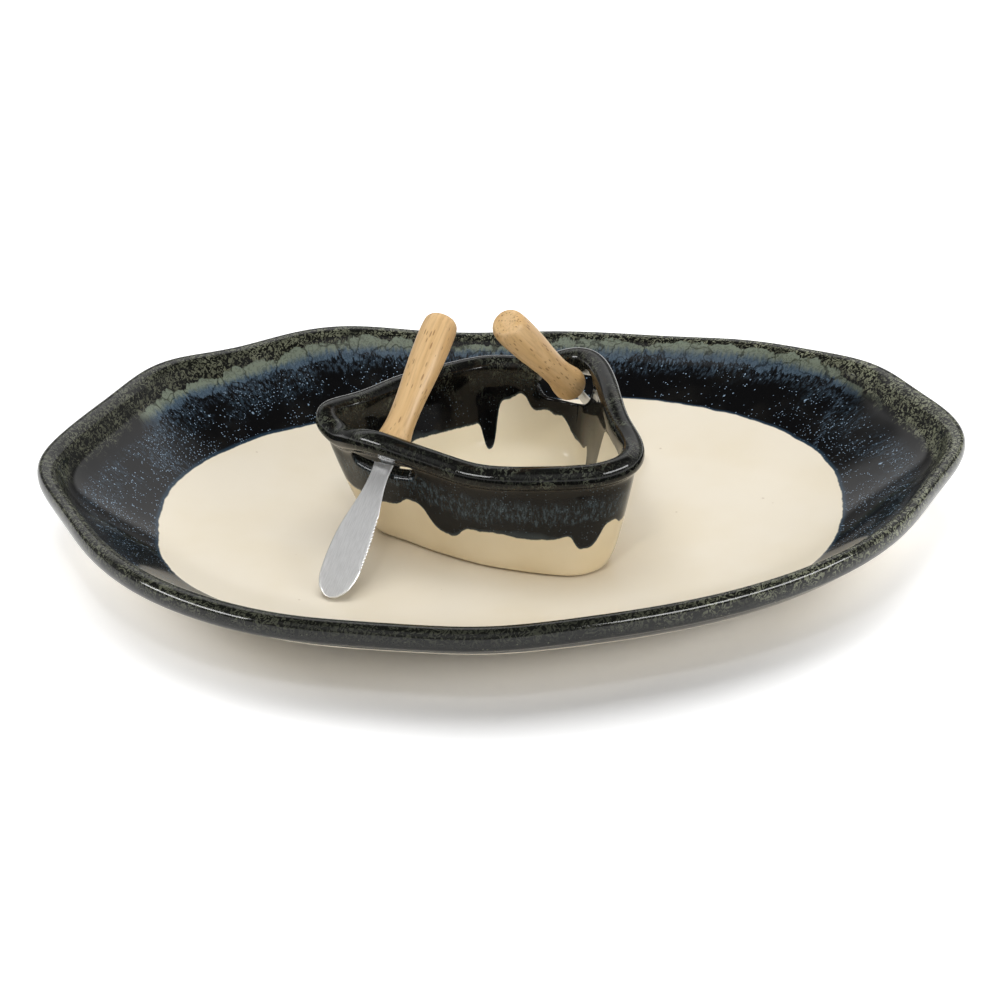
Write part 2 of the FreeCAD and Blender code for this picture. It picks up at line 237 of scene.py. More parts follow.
def platter_rows():
    """Control rows from the middle of the well, over the rim, to the foot ring."""
    points = np.array(PLATTER_RIM, float)
    edge = closed_samples(points, chord_parameters(points), PLATTER_COLUMNS)
    well = well_point(np.arctan2(edge[:, 1] / 150.0, edge[:, 0] / 200.0), 1.0)
    middle = np.array(FLOOR_CENTRE)
    crest = edge[:, 2]

    def row(reach, height):
        if reach <= 1.0:
            flat = edge[:, :2] + (well - edge[:, :2]) * reach
        else:
            flat = middle + (well - middle) * (2.0 - reach)
        return np.column_stack([flat, np.broadcast_to(height, crest.shape)])

    rows = [row(1.5, FLOOR_Z), row(1.25, FLOOR_Z), row(1.06, FLOOR_Z)]
    for reach in (0.94, 0.80, 0.62, 0.44, 0.28, 0.175):
        rows.append(row(reach, wall_height(1.0 - reach, crest)))
    for reach, fall in ((0.135, 2.9), (0.11, 0.4), (0.055, -0.7), (0.0, 0.2), (-0.012, 5.2), (0.02, 9.2),
                        (0.075, 10.3), (0.13, 10.0)):
        rows.append(row(reach, crest - fall))
    for reach in (0.22, 0.38, 0.56, 0.74, 0.88):
        rows.append(row(reach, wall_height(1.0 - reach, crest) - WALL_DROP))
    rows += [row(0.97, 1.9), row(1.0, 0.25), row(1.02, 0.0), row(1.06, 0.0)]
    return rows


# ---------------------------------------------------------------- bowl shape
def bowl_rows():
    """Control rows from the foot, up the outside, over the roll and down the inside."""
    rims = np.array([s[0] for s in BOWL_STATIONS], float)
    feet = np.array([(s[1][0], s[1][1], s[2]) for s in BOWL_STATIONS], float)
    knots = chord_parameters(rims)
    rim = closed_samples(rims, knots, BOWL_COLUMNS)
    foot = closed_samples(feet, knots, BOWL_COLUMNS)
    dents = foot[:, 2:3]
    middle = foot[:, :2].mean(axis=0)
    half = BOWL_THICK / 2.0

    def wall_row(rise, offset):
        spread = 1.25 * rise - 0.25 * rise * rise
        dip = math.sin(math.pi * min(rise, 1.0) ** 2.2)
        line = np.column_stack([foot[:, :2] + (rim[:, :2] - foot[:, :2]) * spread,
                                BOWL_BASE + (rim[:, 2] - BOWL_BASE) * rise])
        return line + outward(line) * (offset - dents * dip)

    def rim_row(offset, lift):
        return rim + outward(rim) * offset + np.array([0, 0, lift])

    def base_row(offset, height):
        line = np.column_stack([foot[:, :2], np.full(len(foot), height)])
        return line + outward(line) * offset

    def inner_row(scale, height):
        return np.column_stack([middle + (foot[:, :2] - middle) * scale, np.full(len(foot), height)])

    wide = ROLL_WIDE / 2.0
    high = ROLL_HIGH / 2.0
    rows = [base_row(-4.0, BOWL_BASE), base_row(-1.5, BOWL_BASE), base_row(0.9, BOWL_BASE + 0.1),
            base_row(2.2, BOWL_BASE + 2.2)]
    rows += [wall_row(rise, half) for rise in (0.14, 0.28, 0.42, 0.56, 0.70, 0.80)]
    rows.append(wall_row(0.87, half - 0.2))
    rows += [rim_row(half + 0.3, -high - 0.6), rim_row(wide + 0.9, -high * 0.75),
             rim_row(wide + 0.7, high * 0.7),
             rim_row(wide * 0.45, high + 0.9), rim_row(-wide * 0.45, high + 0.9),
             rim_row(-wide - 0.6, high * 0.6),
             rim_row(-wide - 0.2, -high * 0.8)]
    rows.append(wall_row(0.84, -half))
    rows += [wall_row(rise, -half) for rise in (0.72, 0.58, 0.44, 0.30)]
    rows += [inner_row(0.90, BOWL_FLOOR + 4.5), inner_row(0.82, BOWL_FLOOR + 0.6),
             inner_row(0.70, BOWL_FLOOR),
             inner_row(0.50, BOWL_FLOOR)]
    return rows


# ---------------------------------------------------------------- meshes
def closed_mesh(name, rings, fields):
    """Closed skin over rings of points in mm, with a middle point at each end.

    Fields are values per ring point.
    """
    count, around = rings.shape[:2]
    points = np.vstack([rings.reshape(-1, 3), rings[0].mean(axis=0), rings[-1].mean(axis=0)])
    index = np.arange(count * around).reshape(count, around)
    after = np.roll(index, -1, axis=1)
    faces = np.stack([index[:-1], after[:-1], after[1:], index[1:]], axis=-1).reshape(-1, 4).tolist()
    first, last = count * around, count * around + 1
    faces += [(first, b, a) for a, b in zip(index[0].tolist(), after[0].tolist())]
    faces += [(last, a, b) for a, b in zip(index[-1].tolist(), after[-1].tolist())]
    mesh = bpy.data.meshes.new(name)
    mesh.from_pydata((points * MM).tolist(), [], faces)
    for field, values in fields.items():
        flat = values.reshape(count * around, -1)
        ends = np.vstack([values[0].reshape(around, -1).mean(axis=0),
                          values[-1].reshape(around, -1).mean(axis=0)])
        flat = np.vstack([flat, ends]).astype(np.float32)
        if flat.shape[1] == 1:
            mesh.attributes.new(field, "FLOAT", "POINT").data.foreach_set("value", flat.ravel())
        else:
            mesh.attributes.new(field, "FLOAT_VECTOR", "POINT").data.foreach_set("vector", flat.ravel())
    tidy = bmesh.new()
    tidy.from_mesh(mesh)
    bmesh.ops.recalc_face_normals(tidy, faces=tidy.faces)
    tidy.to_mesh(mesh)
    tidy.free()
    mesh.shade_smooth()
    piece = bpy.data.objects.new(name, mesh)
    bpy.context.scene.collection.objects.link(piece)
    return piece


def glaze_fields(rings, inside_first):
    """Place on the glaze: round the rim on a circle of the rim's length, and mm down from the crest."""
    around = rings.shape[1]
    crest = rings[:, :, 2].argmax(axis=0)
    steps = np.linalg.norm(np.diff(rings, axis=0), axis=2)
    run = np.vstack([np.zeros(around), np.cumsum(steps, axis=0)])
    down = run - run[crest, np.arange(around)]
    if inside_first:
        down = -down
    rim = rings[crest, np.arange(around)]
    steps = np.linalg.norm(np.roll(rim, -1, axis=0) - rim, axis=1)
    share = (np.cumsum(steps) - steps) / steps.sum()
    radius = steps.sum() / math.tau
    circle = np.stack([radius * np.cos(math.tau * share), radius * np.sin(math.tau * share)], axis=1)
    place = np.concatenate([np.broadcast_to(circle, rings.shape[:2] + (2,)), down[:, :, None]], axis=2)
    return place, down, share


def spread_rings(first, last, count):
    """Rings between two rings, without the first one."""
    return [first + (last - first) * k / count for k in range(1, count + 1)]


def signed_distance(points, outline):
    """Distance of level points to a closed outline, positive outside it."""
    a = outline
    b = np.roll(outline, -1, axis=0)
    flat = points.reshape(-1, 2)
    best = np.full(len(flat), 1e9)
    inside = np.zeros(len(flat), bool)
    for p, q in zip(a, b):
        edge = q - p
        t = np.clip(((flat - p) @ edge) / (edge @ edge), 0, 1)
        best = np.minimum(best, np.linalg.norm(flat - p - t[:, None] * edge, axis=1))
        crosses = (p[1] > flat[:, 1]) != (q[1] > flat[:, 1])
        if p[1] != q[1]:
            inside ^= crosses & (flat[:, 0] < p[0] + (flat[:, 1] - p[1]) * edge[0] / edge[1])
    return np.where(inside, -best, best).reshape(points.shape[:-1])


def all_round(share, table, soften, column=1):
    """Value all round from a few listed points, softened by a short blur."""
    at = np.array(table, float)
    fine = np.arange(2400) / 2400.0
    line = np.interp(fine, np.append(at[:, 0], 1.0), np.append(at[:, column], at[0, column]))
    reach = np.arange(-40, 41)
    kernel = np.exp(-0.5 * (reach / soften) ** 2)
    wrapped = np.concatenate([line[-40:], line, line[:40]])
    line = np.convolve(wrapped, kernel / kernel.sum(), mode="valid")
    return np.interp(share, fine, line)


def run_line(share, level, drips):
    """Depth of the glaze's lower edge all round: a level with blunt drips."""
    line = np.full(share.shape, level)
    for at, more, wide in drips:
        away = (share - at + 0.5) % 1.0 - 0.5
        line += more * np.exp(-(away / wide) ** 4)
    return line


def well_edge():
    """Edge of the pale glaze in the well."""
    angle = np.linspace(-math.pi, math.pi, 240, endpoint=False)
    c, s = np.cos(angle), np.sin(angle)
    size = (np.abs(c) ** WELL_FULLNESS + np.abs(s) ** WELL_FULLNESS) ** (-1.0 / WELL_FULLNESS)
    size *= 1.0 - WELL_PULL * np.exp(-((angle - WELL_PULL_AT) / WELL_PULL_WIDE) ** 2)
    x, y = WELL_LONG * size * c, WELL_SHORT * size * s
    turn = math.radians(FLOOR_TURN)
    return np.stack([WELL_CENTRE[0] + x * math.cos(turn) - y * math.sin(turn),
                     WELL_CENTRE[1] + x * math.sin(turn) + y * math.cos(turn)], axis=1)


def platter_piece():
    rings = skin(platter_rows(), 5, 8)
    middle = np.array([*FLOOR_CENTRE, FLOOR_Z])
    inner = spread_rings(middle + (rings[0] - middle) * 0.05, rings[0], 8)[:-1]
    angle = np.arctan2(rings[-1][:, 1] - FLOOR_CENTRE[1], rings[-1][:, 0] - FLOOR_CENTRE[0])
    turn = math.radians(FLOOR_TURN)
    pocket = []
    for shrink, height in ((0.0, 0.0), (0.15, 0.25), (0.25, POCKET_DEEP - 0.3),
                           (0.7, POCKET_DEEP), (20.0, POCKET_DEEP)):
        x = (POCKET_LONG - shrink) * np.cos(angle - turn)
        y = (POCKET_SHORT - shrink) * np.sin(angle - turn)
        pocket.append(np.stack([FLOOR_CENTRE[0] + x * math.cos(turn) - y * math.sin(turn),
                                FLOOR_CENTRE[1] + x * math.sin(turn) + y * math.cos(turn),
                                np.full(len(angle), height)], axis=1))
    rings = np.concatenate([inner, rings, pocket])
    place, down, share = glaze_fields(rings, inside_first=True)
    edge = signed_distance(rings[:, :, :2], well_edge())
    edge = np.where(down < 0, PLATTER_OUTER_BAND + down, edge)
    values = [np.broadcast_to(all_round(share, PLATTER_BREAK, 25.0, k), down.shape) for k in (1, 2, 3, 4)]
    flow = np.stack(values[:3], axis=2)
    return closed_mesh("glazed_platter", rings,
                       {"place": place, "edge": edge, "flow": flow, "olive": values[3]})


def slot_frame(slot):
    centre, plan, fall, length, height = slot
    axis = np.array([plan[0], plan[1], -fall])
    axis /= np.linalg.norm(axis)
    along = np.array([-plan[1], plan[0], 0.0])
    along /= np.linalg.norm(along)
    up = np.cross(along, axis)
    up *= np.sign(up[2])
    radius = height * up[2] / 2.0
    return np.array(centre), axis, along, up, length / 2.0 - radius, radius


def outline_distance(x, y, reach, radius):
    return np.hypot(np.maximum(np.abs(x) - reach, 0), y) - radius


def cut_slot(piece, slot, slot_lip):
    """Open a slot with round lips through the wall of the piece."""
    centre, axis, along, up, reach, radius = slot_frame(slot)
    solid = bmesh.new()
    solid.from_mesh(piece.data)
    tree = BVHTree.FromBMesh(solid)

    def local(point):
        q = np.array(point) / MM - centre
        return q @ along, q @ up, q @ axis

    def skins(x, y):
        """Depth along the slot of the outer and the inner skin."""
        found = []
        for side in (1, -1):
            start = (centre + x * along + y * up + side * 22.0 * axis) * MM
            hit = tree.ray_cast(Vector(start), Vector(-side * axis), 30 * MM)[0]
            if hit is None:
                return None
            found.append(local(hit)[2])
        return found

    def near(vert, limit):
        x, y, w = local(vert.co)
        return abs(w) < 16 and outline_distance(x, y, reach, radius) < limit

    rough = {v for v in solid.verts if near(v, slot_lip + 2.0)}
    edges = [e for e in solid.edges if e.verts[0] in rough and e.verts[1] in rough]
    bmesh.ops.subdivide_edges(solid, edges=edges, cuts=1, use_grid_fill=True)
    moved = {}
    for v in solid.verts:
        x, y, w = local(v.co)
        d = outline_distance(x, y, reach, radius)
        if abs(w) > 16 or d > slot_lip:
            continue
        depth = skins(x, y)
        if depth is None or min(abs(w - depth[0]), abs(w - depth[1])) > 0.6:
            continue
        outer = abs(w - depth[0]) < abs(w - depth[1])
        moved[v] = (x, y, d, depth, outer)
    gone = [f for f in solid.faces if all(v in moved and moved[v][2] < 0 for v in f.verts)]
    bmesh.ops.delete(solid, geom=gone, context="FACES")
    for v, (x, y, d, depth, outer) in moved.items():
        if not v.is_valid:
            continue
        if d < 0:
            tip = np.clip(x, -reach, reach)
            out = np.array([x - tip, y])
            out = out / max(np.linalg.norm(out), 1e-6) * radius
            x, y, d = tip + out[0], out[1], 0.0
            depth = skins(*(np.array([tip, 0]) + out * 1.02)) or depth
        middle = (depth[0] + depth[1]) / 2.0
        half = (depth[0] - depth[1]) / 2.0
        lip = min(slot_lip, half * 0.92)
        fall = lip * (1.0 - math.sqrt(max(0.0, 1.0 - (1.0 - min(d / lip, 1.0)) ** 2)))
        side = 1.0 if outer else -1.0
        point = centre + x * along + y * up + (middle + side * (half - fall)) * axis
        v.co = Vector(point * MM)
    loops = [e for e in solid.edges if e.is_boundary]
    bmesh.ops.bridge_loops(solid, edges=loops)
    bmesh.ops.recalc_face_normals(solid, faces=solid.faces)
    for face in solid.faces:
        face.smooth = True
    solid.to_mesh(piece.data)
    solid.free()


def bowl_piece():
    rings = skin(bowl_rows(), 7, 8)
    middle = rings[0].mean(axis=0)
    under = spread_rings(middle + (rings[0] - middle) * 0.1, rings[0], 4)[:-1]
    middle = rings[-1].mean(axis=0)
    floor = spread_rings(rings[-1], middle + (rings[-1] - middle) * 0.05, 6)
    rings = np.concatenate([under, rings, floor])
    place, down, share = glaze_fields(rings, inside_first=False)
    inner = run_line(share, INNER_LEVEL, INNER_DRIPS)[None, :] - down
    outer = run_line(share, OUTER_LEVEL, OUTER_DRIPS)[None, :] + down
    edge = np.where(down < 0, outer, inner)
    piece = closed_mesh("glazed_dip_bowl", rings, {"place": place, "edge": edge})
    cut_slot(piece, FRONT_SLOT, FRONT_SLOT_LIP)
    cut_slot(piece, REAR_SLOT, REAR_SLOT_LIP)
    return piece


# ---------------------------------------------------------------- spreaders
def spreader_frame(spreader):
    """Origin at the tip, and the directions along, across and off the flat of the blade."""
    tip, direction = spreader
    along = np.array(direction, float)
    along /= np.linalg.norm(along)
    side = np.cross([0, 0, 1], along)
    side /= np.linalg.norm(side)
    return np.array(tip), np.stack([along, side, np.cross(along, side)])


def placed(rings, spreader):
    origin, axes = spreader_frame(spreader)
    return origin + rings @ axes


def natural_spline(points, at):
    """Smooth curve through (x, y) points, read at x, with free ends."""
    x, y = np.array(points, float).T
    h = np.diff(x)
    n = len(x)
    left = np.eye(n)
    right = np.zeros(n)
    for k in range(1, n - 1):
        left[k, k - 1:k + 2] = h[k - 1], 2 * (h[k - 1] + h[k]), h[k]
        right[k] = 6 * ((y[k + 1] - y[k]) / h[k] - (y[k] - y[k - 1]) / h[k - 1])
    bend = np.linalg.solve(left, right)
    k = np.clip(np.searchsorted(x, at, side="right") - 1, 0, n - 2)
    t, s, w = at - x[k], x[k + 1] - at, h[k]
    return (bend[k] * s ** 3 + bend[k + 1] * t ** 3) / (6 * w) + (y[k] / w - bend[k] * w / 6) * s + (
        y[k + 1] / w - bend[k + 1] * w / 6) * t


def handle_piece(name, spreader):
    """Turned handle, lathed in rings, with the bore for the tang."""
    outline = np.array(HANDLE_OUTLINE)
    run = np.concatenate([[0], np.cumsum(np.linalg.norm(np.diff(outline, axis=0), axis=1))])
    at = np.linspace(0, run[-1], 110)
    x = natural_spline(np.stack([run, outline[:, 0]], axis=1), at)
    r = natural_spline(np.stack([run, outline[:, 1]], axis=1), at)
    bore = [(BORE_LONG, 0.3), (BORE_LONG, BORE_RADIUS), (0.0, BORE_RADIUS), (0.0, HANDLE_OUTLINE[0][1] - 0.2)]
    end = [(HANDLE_LONG, HANDLE_OUTLINE[-1][1] * s) for s in (0.9, 0.5, 0.1)]
    profile = np.array(bore + list(zip(x, r)) + end)
    around = np.arange(96) / 96 * math.tau
    rings = np.stack([np.broadcast_to(BLADE_LONG + profile[:, 0:1], (len(profile), 96)),
                      profile[:, 1:2] * np.cos(around), profile[:, 1:2] * np.sin(around)], axis=2)
    return closed_mesh(name, placed(rings, spreader), {"grain": rings})


def blade_edges(x):
    """Half widths of the blade on its plain and its toothed edge at distance x from the tip."""
    plain = [(0, 0.3), (0.35, 2.0), (1.2, 3.7), (2.6, 5.4), (5.0, 7.05), (8.0, 8.1),
             (13, 8.8), (20, 9.0), (33, 8.0),
             (45, 5.5), (56, 4.2), (BLADE_LONG - 1, BLADE_NECK / 2)]
    toothed = [(0, 0.3), (0.35, 2.0), (1.2, 3.7), (2.8, 5.4), (5.0, 6.9), (8.0, 7.9),
               (14, 8.65), (20, 8.6), (27, 8.25),
               (33, 7.65), (38, 7.05), (48, 5.1), (56, 4.2), (BLADE_LONG - 1, BLADE_NECK / 2)]
    a = natural_spline(plain, np.minimum(x, BLADE_LONG - 1))
    b = natural_spline(toothed, np.minimum(x, BLADE_LONG - 1))
    first = 14.0
    phase = (x - first) / TOOTH_PITCH % 1.0
    in_teeth = (x > first) & (x < first + TEETH * TOOTH_PITCH)
    b = b - np.where(in_teeth, TOOTH_DEPTH * 2.0 * np.minimum(phase, 1 - phase), 0)
    tang = np.clip((x - BLADE_LONG + 1) / 1.2, 0, 1)
    half = TANG_WIDE / 2
    return a + (half - a) * tang, b + (half - b) * tang


def blade_piece(name, spreader):
    """Blade with ground edges, a fine-toothed stretch and its tang, in rings across its width."""
    tip = 2.6 * (1 - np.cos(np.linspace(0.0, math.pi / 2, 14)))
    x = np.concatenate([tip, np.linspace(2.8, 14, 30)[:-1], np.arange(14, 38.01, 0.25),
                        np.linspace(38.4, 67, 50),
                        np.linspace(68, BLADE_LONG + TANG_LONG, 8)])
    plain, toothed = blade_edges(x)
    thick = BLADE_THICK / 2
    across = [(1.0, 0.0), (1.0, 0.22), (0.93, 0.62), (0.84, 0.93), (0.7, 1.0), (0.35, 1.0), (0.0, 1.0)]
    top = across + [(-s, r) for s, r in across[-2::-1]]
    below = [(s, -r) for s, r in top[-2:0:-1]]
    ring = np.array(top + below)
    width = np.where(ring[:, 0][None, :] >= 0, plain[:, None], toothed[:, None])
    rings = np.stack([np.broadcast_to(x[:, None], width.shape), ring[:, 0] * width,
                      np.broadcast_to(ring[:, 1] * thick, width.shape)], axis=2)
    return closed_mesh(name, placed(rings, spreader), {"grain": rings})


# ---------------------------------------------------------------- materials
class Graph:
    """Short forms for building the nodes of a material or a world."""

    def __init__(self, owner):
        owner.use_nodes = True
        self.owner = owner
        self.tree = owner.node_tree
        self.shader = next(n for n in self.tree.nodes if n.outputs and n.outputs[0].type == "SHADER")

    def node(self, kind, inputs=(), **settings):
        made = self.tree.nodes.new(kind)
        for key, value in settings.items():
            setattr(made, key, value)
        for key, value in dict(inputs).items():
            self.put(made.inputs[key], value)
        return made

    def put(self, socket, value):
        if isinstance(value, bpy.types.NodeSocket):
            self.tree.links.new(value, socket)
        else:
            socket.default_value = value

    def math(self, operation, *values, clamp=False):
        return self.node("ShaderNodeMath", enumerate(values), operation=operation, use_clamp=clamp).outputs[0]

    def add(self, a, b):
        return self.math("ADD", a, b)

    def times(self, a, b):
        return self.math("MULTIPLY", a, b)

    def attribute(self, name):
        return self.node("ShaderNodeAttribute", attribute_name=name)

    def scaled(self, vector, scale):
        return self.node("ShaderNodeVectorMath", {0: vector, 1: scale}, operation="MULTIPLY").outputs[0]

    def noise(self, vector, scale, detail=2.0, rough=0.5, warp=0.0):
        return self.node("ShaderNodeTexNoise", {"Vector": vector, "Scale": scale, "Detail": detail,
                                                "Roughness": rough, "Distortion": warp}).outputs["Fac"]

    def step(self, value, low, high, smooth=True):
        """0 below low, 1 above high."""
        kind = "SMOOTHSTEP" if smooth else "LINEAR"
        return self.node("ShaderNodeMapRange", {"Value": value, "From Min": low, "From Max": high},
                         interpolation_type=kind).outputs[0]

    def band(self, value, low, high, soft):
        """1 between low and high, falling to 0 over soft on each side."""
        inner = self.step(value, self.math("SUBTRACT", low, soft), low)
        outer = self.step(value, high, self.math("ADD", high, soft))
        return self.times(inner, self.math("SUBTRACT", 1.0, outer))

    def mix(self, factor, a, b):
        made = self.node("ShaderNodeMix", data_type="RGBA")
        self.put(made.inputs[0], factor)
        for socket, value in ((made.inputs[6], a), (made.inputs[7], b)):
            self.put(socket, value if isinstance(value, bpy.types.NodeSocket) else (*value, 1.0))
        return made.outputs[2]

    def blend(self, factor, a, b):
        """Number between a and b."""
        return self.node("ShaderNodeMix", {0: factor, 2: a, 3: b}, data_type="FLOAT").outputs[0]

    def bump(self, height, distance, strength=1.0, normal=None):
        inputs = {"Height": height, "Distance": distance * MM, "Strength": strength}
        if normal is not None:
            inputs["Normal"] = normal
        return self.node("ShaderNodeBump", inputs).outputs[0]

    def finish(self, **sockets):
        for name, value in sockets.items():
            self.put(self.shader.inputs[name.replace("_", " ")], value)
        return self.owner


JET = (0.0035, 0.0035, 0.0038)
SOFT_BLACK = (0.008, 0.0075, 0.007)
OLIVE = (0.23, 0.24, 0.165)
OLIVE_DARK = (0.007, 0.0075, 0.006)
PALE_OLIVE = (0.185, 0.215, 0.165)
DIM_BLUE = (0.022, 0.036, 0.053)
FLOW_BLUE = (0.085, 0.125, 0.168)
SPECK_BLUE = (0.30, 0.42, 0.55)
HALO_BLUE = (0.024, 0.048, 0.075)
WELL_CREAM = (0.85, 0.775, 0.635)
WELL_CREAM_DEEP = (0.82, 0.735, 0.575)
CREAM = (0.88, 0.75, 0.525)
CREAM_DEEP = (0.83, 0.69, 0.455)
# Paler, lighter copy of the bowl cream for the inside: painted light, set against the deeper cream of the
# shaded outside wall
LIT_CREAM_INSIDE = (0.97, 0.88, 0.68)


def warped(g, place, scale, amount):
    """The place pushed about by a noise, so that cells read from it have wavy sides."""
    push = g.node("ShaderNodeTexNoise", {"Vector": place, "Scale": scale, "Detail": 3.0}).outputs["Color"]
    centred = g.node("ShaderNodeVectorMath", {0: push, 1: (0.5, 0.5, 0.5)}, operation="SUBTRACT").outputs[0]
    return g.node("ShaderNodeVectorMath", {0: g.scaled(centred, (amount,) * 3), 1: place}).outputs[0]


def maze(g, place, scale):
    """Curling ridges of crystal in a glaze, 1 on a ridge."""
    field = g.noise(place, scale, 2.0, 0.5, 0.7)
    turn = g.math("FRACT", g.times(field, 4.0))
    return g.step(g.math("ABSOLUTE", g.math("SUBTRACT", turn, 0.5)), 0.30, 0.10)


def specks(g, place, scale, share, size):
    """Scattered dots of random size, 1 on a dot. Share is how many cells hold one."""
    cells = g.node("ShaderNodeTexVoronoi", {"Vector": place, "Scale": scale, "Randomness": 1.0})
    lot = g.node("ShaderNodeSeparateColor", {0: cells.outputs["Color"]})
    here = g.math("LESS_THAN", lot.outputs[0], share)
    reach = g.times(size, g.add(0.35, lot.outputs[1]))
    dot = g.step(cells.outputs["Distance"], reach, g.times(reach, 0.55))
    return g.times(dot, here)


def pale_flow(g, place, down, start, strength):
    """Lobes that broke out of the glaze below the crest: how much, how far down, and how far past."""
    streak = g.scaled(place, (1.0, 1.0, 0.18))
    comb = g.math("SUBTRACT", g.noise(streak, 0.75, 3.0, 0.6), 0.5)
    cell_place = g.scaled(warped(g, place, 0.16, 14.0), (1.0, 1.0, 1.1))
    round_lobes = g.node("ShaderNodeTexVoronoi", {"Vector": cell_place, "Scale": 0.07}).outputs["Distance"]
    seams = g.node("ShaderNodeTexVoronoi", {"Vector": cell_place, "Scale": 0.07}, feature="DISTANCE_TO_EDGE")
    top = g.add(g.add(start, g.times(round_lobes, 7.0)), g.add(g.times(comb, 3.5), -3.5))
    bottom = g.add(g.add(start, g.times(round_lobes, -7.0)), g.add(g.times(comb, 11.0), 12.5))
    inside = g.times(g.step(down, top, g.add(top, 0.8)), g.step(down, bottom, g.add(bottom, -1.6)))
    gap = g.step(seams.outputs["Distance"], 0.01, 0.06)
    here = g.step(g.add(strength, g.math("SUBTRACT", g.noise(place, 0.035, 2.0), 0.5)), 0.3, 0.55)
    share = g.math("DIVIDE", g.math("SUBTRACT", down, top), g.math("SUBTRACT", bottom, top))
    past = g.math("SUBTRACT", down, bottom)
    return g.times(g.times(inside, here), g.blend(gap, 0.35, 1.0)), share, g.times(here, past)


def platter_glaze():
    g = Graph(bpy.data.materials.new("platter_glaze"))
    place = g.attribute("place").outputs["Vector"]
    edge = g.attribute("edge").outputs["Fac"]
    olive = g.attribute("olive").outputs["Fac"]
    start, strength, crystals = g.node("ShaderNodeSeparateXYZ",
                                       {0: g.attribute("flow").outputs["Vector"]}).outputs
    down = g.node("ShaderNodeSeparateXYZ", {0: place}).outputs[2]
    streak = g.scaled(place, (1.0, 1.0, 0.45))

    # Mottled olive ridges along the crest
    ridges = maze(g, place, 0.42)
    mottle = g.step(g.noise(place, 0.08, 3.0, 0.6), 0.2, 0.62)
    ridge_colour = g.mix(g.times(mottle, olive), (0.013, 0.014, 0.011), OLIVE)
    rim_colour = g.mix(ridges, OLIVE_DARK, ridge_colour)

    # Jet field with crystals
    field = g.mix(g.step(g.noise(place, 0.05, 2.0), 0.45, 0.7), JET, SOFT_BLACK)
    deep = g.step(down, g.add(start, 5.0), g.add(start, 13.0))
    crowd = g.times(crystals, g.step(g.noise(g.scaled(place, (1.0, 1.0, 0.8)), 0.05, 3.0, 0.6), 0.25, 0.7))
    feather = g.step(g.noise(streak, 0.7, 4.0, 0.75), 0.44, 0.66)
    cloud = g.times(g.step(crowd, 0.2, 0.55), feather)
    upper = g.step(down, g.add(start, 34.0), g.add(start, 16.0))
    field = g.mix(g.times(g.times(cloud, upper), g.times(deep, 0.85)), field, (0.032, 0.052, 0.072))
    fine = specks(g, place, 0.95, g.times(crowd, 0.9), 0.34)
    coarse = specks(g, g.scaled(place, (1.0, 1.0, 0.7)), 0.19, 0.22, 0.13)
    field = g.mix(g.times(g.times(fine, deep), 0.75), field, SPECK_BLUE)
    field = g.mix(g.times(g.times(coarse, deep), 0.8), field, SPECK_BLUE)

    wander = g.times(g.math("SUBTRACT", g.noise(place, 0.12, 3.0, 0.7), 0.5), 12.0)
    rim_end = g.add(g.add(start, wander), g.times(g.math("SUBTRACT", g.noise(streak, 0.6, 2.0), 0.5), 6.0))
    on_rim = g.step(down, g.add(rim_end, 3.5), g.add(rim_end, -2.5))
    dark = g.mix(on_rim, field, rim_colour)
    flow, share, past = pale_flow(g, place, down, start, strength)
    grain = g.step(g.noise(streak, 1.1, 3.0, 0.7), 0.3, 0.7)
    fringe = g.times(g.times(g.step(past, 0.0, 0.4), g.step(past, 9.0, 1.0)), feather)
    dark = g.mix(g.times(fringe, 0.9), dark, g.mix(grain, DIM_BLUE, FLOW_BLUE))
    flow_colour = g.mix(g.step(share, 0.25, 0.7), PALE_OLIVE, g.mix(grain, (0.048, 0.076, 0.108), FLOW_BLUE))
    flow_colour = g.mix(g.times(ridges, 0.3), flow_colour, OLIVE_DARK)
    dark = g.mix(flow, dark, flow_colour)

    # Outside: ridges only on the bead, then a plain dark wall
    outside = g.step(down, -5.0, -10.0)
    dark = g.mix(g.times(outside, 0.9), dark, (0.010, 0.010, 0.009))
    pale_dots = specks(g, place, 0.6, 0.35, 0.2)
    dark = g.mix(g.times(g.times(pale_dots, outside), 0.5), dark, OLIVE)

    line = g.add(edge, g.times(g.math("SUBTRACT", g.noise(place, 0.05, 3.0, 0.6), 0.5), 2.4))
    cover = g.step(line, -0.25, 0.35)
    halo = g.step(line, g.add(0.9, g.times(crystals, 2.0)), 0.3)
    dark = g.mix(g.times(halo, 0.9), dark, HALO_BLUE)

    spot = g.node("ShaderNodeTexCoord").outputs["Object"]
    tint = g.noise(spot, 22.0, 3.0, 0.5)
    cream = g.mix(g.step(tint, 0.35, 0.75), WELL_CREAM, WELL_CREAM_DEEP)
    pores = specks(g, spot, 260.0, 0.012, 0.2)
    cream = g.mix(g.times(pores, 0.35), cream, (0.35, 0.24, 0.13))
    colour = g.mix(cover, cream, dark)

    normal = g.bump(g.noise(spot, 45.0, 2.0, 0.5), 0.2, 0.6)
    normal = g.bump(cover, 0.10, 0.8, normal)
    normal = g.bump(g.times(g.times(ridges, on_rim), cover), 0.02, 0.25, normal)
    rough = g.blend(cover, 0.28, g.blend(on_rim, 0.08, 0.06))
    g.finish(Base_Color=colour, Roughness=rough, Normal=normal)
    return g.finish(Specular_IOR_Level=0.32)


